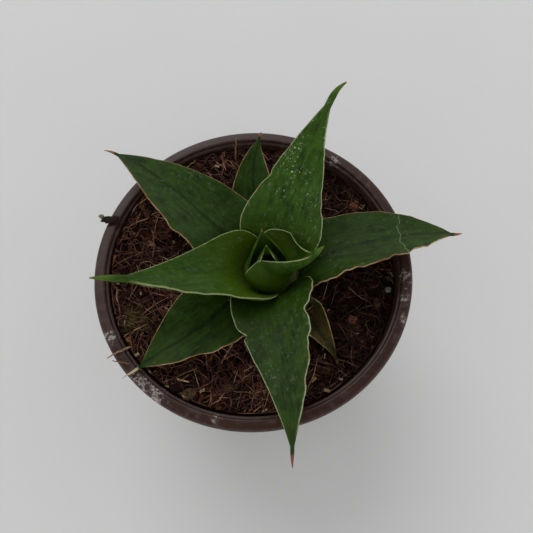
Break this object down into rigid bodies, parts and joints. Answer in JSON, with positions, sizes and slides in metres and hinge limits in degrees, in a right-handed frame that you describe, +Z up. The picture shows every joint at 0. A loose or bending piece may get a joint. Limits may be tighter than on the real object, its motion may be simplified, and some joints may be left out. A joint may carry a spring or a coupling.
{
  "type": "potted snake plant",
  "caption": "Young broad-leaved snake plant: a rosette of channelled, pointed green leaves in a round dark brown nursery pot filled with coir mix.",
  "frame": {"origin": "centre of the flat underside of the pot", "axes": "+Z up along the pot axis; +X towards the broad right leaf; -Y towards the long front leaf"},
  "size_m": [0.1371, 0.1324, 0.1282],
  "materials": {
    "pot_plastic": "satin moulded polypropylene with dust and lime specks",
    "coir_mix": "loose brown coir fibre and bark fines",
    "stem_flesh": "pale fleshy stem",
    "mature_leaf": "waxy dark green with a thin orange-brown hardened margin",
    "young_leaf": "waxy mid green with a thin cream-green hardened margin",
    "withered_leaf": "dry olive-brown blade with cream margins",
    "dark_bark": "damp composted bark, nearly black",
    "red_bark": "reddish pine bark",
    "bark": "dark composted bark",
    "husk": "pale olive seed husk",
    "clod": "lump of fibrous peat",
    "pellet": "grey coated feed pellet",
    "coir_strand": "coarse coconut fibre",
    "pale_root": "thin dry root",
    "straw": "sliver of dry straw"
  },
  "bodies": {
    "root": {"pot": "pot_plastic", "potting_mix": "coir_mix", "stem": "stem_flesh", "leaf_spear": "young_leaf", "leaf_young": "young_leaf", "leaf_inner": "young_leaf", "leaf_left": "young_leaf", "leaf_back_right": "mature_leaf", "leaf_front": "mature_leaf", "leaf_back_left": "mature_leaf", "leaf_right": "mature_leaf", "leaf_back_small": "mature_leaf", "leaf_front_left": "mature_leaf", "leaf_withered": "withered_leaf", "bark_on_rim": "dark_bark", "seed_husk": "husk", "red_bark_chip": "red_bark", "bark_chip_1": "bark", "bark_chip_2": "bark", "bark_chip_3": "red_bark", "bark_chip_4": "bark", "bark_chip_5": "bark", "clod": "clod", "feed_pellet": "pellet", "strand_over_rim": "coir_strand", "strand_thin": "coir_strand", "strand_upright": "coir_strand", "pale_root": "pale_root", "straw": "straw"}
  },
  "joints": []
}
